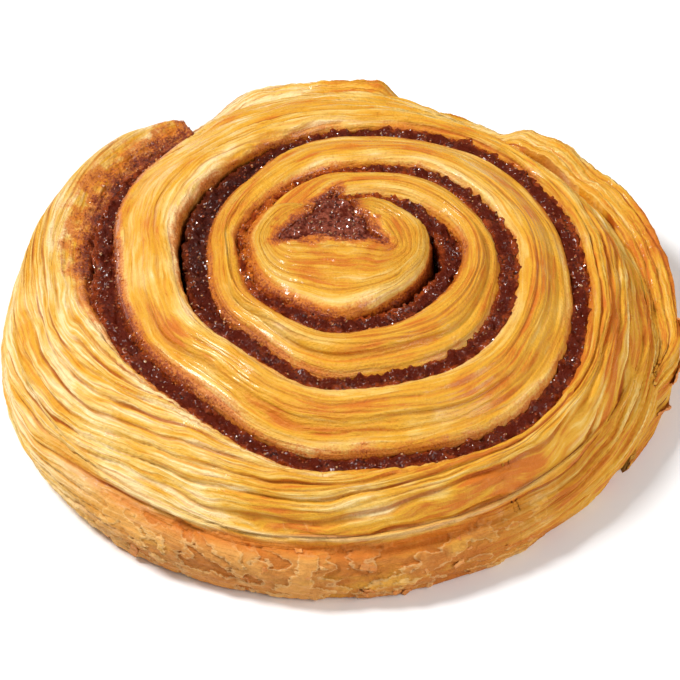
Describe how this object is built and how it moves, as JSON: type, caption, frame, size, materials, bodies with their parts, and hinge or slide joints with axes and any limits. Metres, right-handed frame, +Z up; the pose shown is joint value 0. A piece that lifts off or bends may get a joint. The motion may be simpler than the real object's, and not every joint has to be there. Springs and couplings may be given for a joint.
{
  "type": "cinnamon roll",
  "caption": "Round flat swirl of laminated pastry, wound with a spiral band of dark cinnamon filling, low at the rim and domed in the middle.",
  "frame": {"origin": "on the surface that the roll lies on, under the middle of its bounding box", "axes": "+Z up through the domed cut face; +Y towards the side where the filling comes out, away from the camera of the picture; +X to the picture's right"},
  "size_m": [0.1142, 0.1113, 0.0298],
  "materials": {
    "crust": "golden baked laminated pastry with a thin glaze",
    "cinnamon": "dark grainy cinnamon and sugar filling, moist"
  },
  "bodies": {
    "root": {"dough": "crust", "filling": "cinnamon"}
  },
  "joints": []
}
